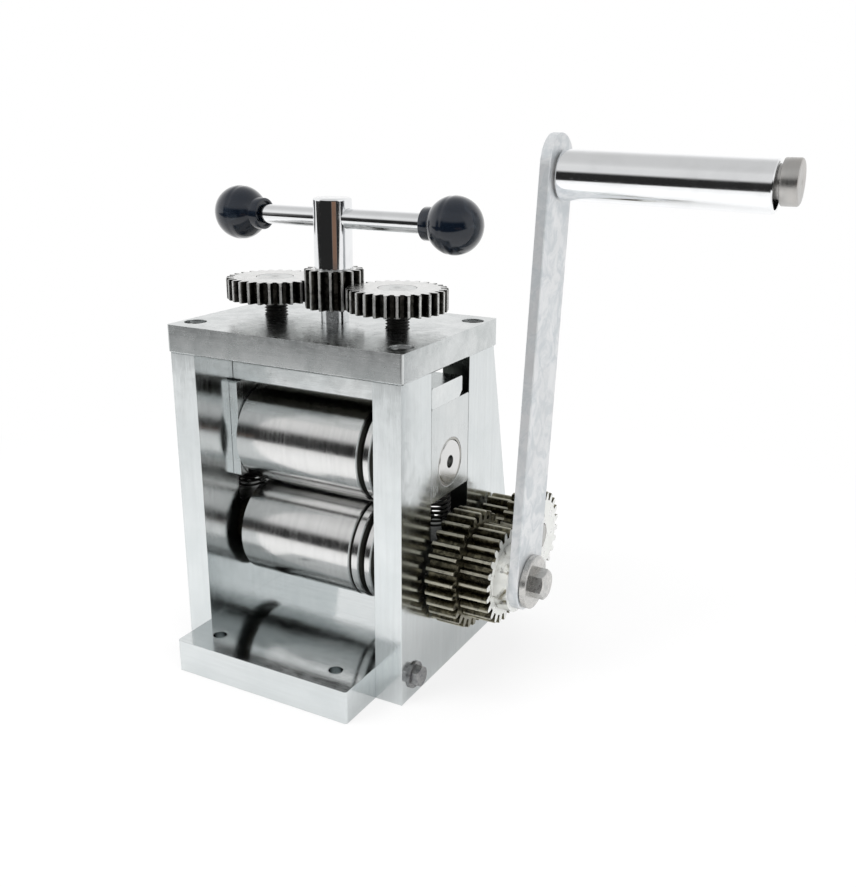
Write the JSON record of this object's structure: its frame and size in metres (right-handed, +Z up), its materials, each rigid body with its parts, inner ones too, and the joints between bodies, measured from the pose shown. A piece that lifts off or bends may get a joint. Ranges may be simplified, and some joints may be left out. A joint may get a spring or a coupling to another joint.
{
  "type": "jewellers rolling mill",
  "caption": "Hand cranked bench rolling mill for sheet and wire, with back-geared steel rolls, grooved roll ends and a geared twin-screw gap adjuster.",
  "frame": {"origin": "on the underside of the base, straight below the middle of the roll axes", "axes": "+X along the rolls towards the crank, +Y to the back of the mill, +Z up"},
  "size_m": [0.2462, 0.133, 0.2218],
  "materials": {
    "frame_steel": "ground and polished plate, mirror-like with fine grinding marks",
    "top_steel": "satin ground plate with cloudy marks",
    "roll_steel": "hardened and ground, bright",
    "block_steel": "ground",
    "gear_steel": "machined, slightly oiled",
    "screw_steel": "black oxide",
    "plated_steel": "bright plated",
    "arm_steel": "zinc plated, satin and cloudy",
    "fastener_steel": "zinc plated",
    "spring_steel": "drawn wire",
    "bush_bronze": "plain bearing bronze",
    "knob_plastic": "glossy dark moulding with a fine parting line"
  },
  "bodies": {
    "frame": {"base_plate": "frame_steel", "left_side_plate": "frame_steel", "right_side_plate": "frame_steel", "top_plate": "top_steel", "top_plate_screws": "fastener_steel", "side_plate_bolts": "fastener_steel", "side_plate_washers": "fastener_steel", "lower_left_bush": "bush_bronze", "lower_right_bush": "bush_bronze", "idler_bush": "bush_bronze", "left_lift_spring": "spring_steel", "right_lift_spring": "spring_steel"},
    "lower_roll_unit": {"lower_roll": "roll_steel", "lower_roll_gear": "gear_steel", "lower_roll_gear_key": "fastener_steel", "gear_thrust_washer": "fastener_steel", "crank_end_washer": "fastener_steel", "crank_end_bolt": "fastener_steel", "lower_coupling_gear": "gear_steel", "lower_coupling_key": "fastener_steel", "lower_coupling_clip": "screw_steel"},
    "carriage": {"left_bearing_block": "block_steel", "right_bearing_block": "block_steel", "upper_left_bush": "bush_bronze", "upper_right_bush": "bush_bronze", "pressure_beam": "block_steel"},
    "upper_roll_unit": {"upper_roll": "roll_steel", "upper_coupling_gear": "gear_steel", "upper_coupling_key": "fastener_steel", "upper_coupling_clip": "screw_steel"},
    "left_jack": {"left_jack_screw": "screw_steel", "left_jack_gear": "gear_steel", "left_jack_pins": "fastener_steel"},
    "right_jack": {"right_jack_screw": "screw_steel", "right_jack_gear": "gear_steel", "right_jack_pins": "fastener_steel"},
    "adjuster": {"adjuster_post": "plated_steel", "adjuster_pinion": "gear_steel", "adjuster_key": "fastener_steel", "adjuster_post_clip": "screw_steel"},
    "sliding_bar": {"tommy_bar": "plated_steel", "left_ball_knob": "knob_plastic", "right_ball_knob": "knob_plastic"},
    "idler": {"idler_large_gear": "gear_steel", "idler_small_gear": "gear_steel", "idler_shaft": "gear_steel", "idler_dowels": "gear_steel", "idler_clip": "screw_steel"},
    "crank": {"crank_gear": "gear_steel", "crank_arm": "arm_steel", "handle_spindle": "fastener_steel"},
    "grip": {"handle_grip": "plated_steel"}
  },
  "joints": [
    {"name": "crank_turn", "type": "hinge", "parent": "frame", "child": "crank", "pos_m": [0.0757, 0, 0.0476], "axis": [1, 0, 0], "continuous": true},
    {"name": "grip_spin", "type": "hinge", "parent": "crank", "child": "grip", "pos_m": [0.0941, 0.01561, 0.20684], "axis": [0.9997, 0, -0.0225], "continuous": true},
    {"name": "lower_roll_turn", "type": "hinge", "parent": "frame", "child": "lower_roll_unit", "pos_m": [0, 0, 0.0476], "axis": [1, 0, 0], "continuous": true},
    {"name": "idler_turn", "type": "hinge", "parent": "frame", "child": "idler", "pos_m": [0.069, 0.0366, 0.0514], "axis": [1, 0, 0], "continuous": true},
    {"name": "adjust_turn", "type": "hinge", "parent": "frame", "child": "adjuster", "pos_m": [0, 0, 0.16], "axis": [0, 0, 1], "range_deg": [-2880, 450]},
    {"name": "bar_slide", "type": "slide", "parent": "adjuster", "child": "sliding_bar", "axis": [0.9996, -0.0297, 0], "range_m": [-0.0355, 0.019]},
    {"name": "roll_gap", "type": "slide", "parent": "frame", "child": "carriage", "axis": [0, 0, 1], "range_m": [-0.00089, 0.00571], "deforming": ["left_lift_spring", "right_lift_spring"]},
    {"name": "upper_roll_turn", "type": "hinge", "parent": "carriage", "child": "upper_roll_unit", "pos_m": [0, 0, 0.0927], "axis": [1, 0, 0], "continuous": true},
    {"name": "left_jack_turn", "type": "hinge", "parent": "carriage", "child": "left_jack", "pos_m": [-0.03025, 0, 0.157], "axis": [0, 0, 1], "range_deg": [-258, 1647]},
    {"name": "right_jack_turn", "type": "hinge", "parent": "carriage", "child": "right_jack", "pos_m": [0.03025, 0, 0.157], "axis": [0, 0, 1], "range_deg": [-258, 1647]}
  ],
  "couplings": [
    {"joint": "lower_roll_turn", "follows": "crank_turn", "ratio": 0.58621},
    {"joint": "upper_roll_turn", "follows": "crank_turn", "ratio": -0.58621},
    {"joint": "idler_turn", "follows": "crank_turn", "ratio": -1},
    {"joint": "adjust_turn", "follows": "roll_gap", "rad_per_m": -8796.5},
    {"joint": "left_jack_turn", "follows": "roll_gap", "rad_per_m": 5026.5},
    {"joint": "right_jack_turn", "follows": "roll_gap", "rad_per_m": 5026.5}
  ]
}
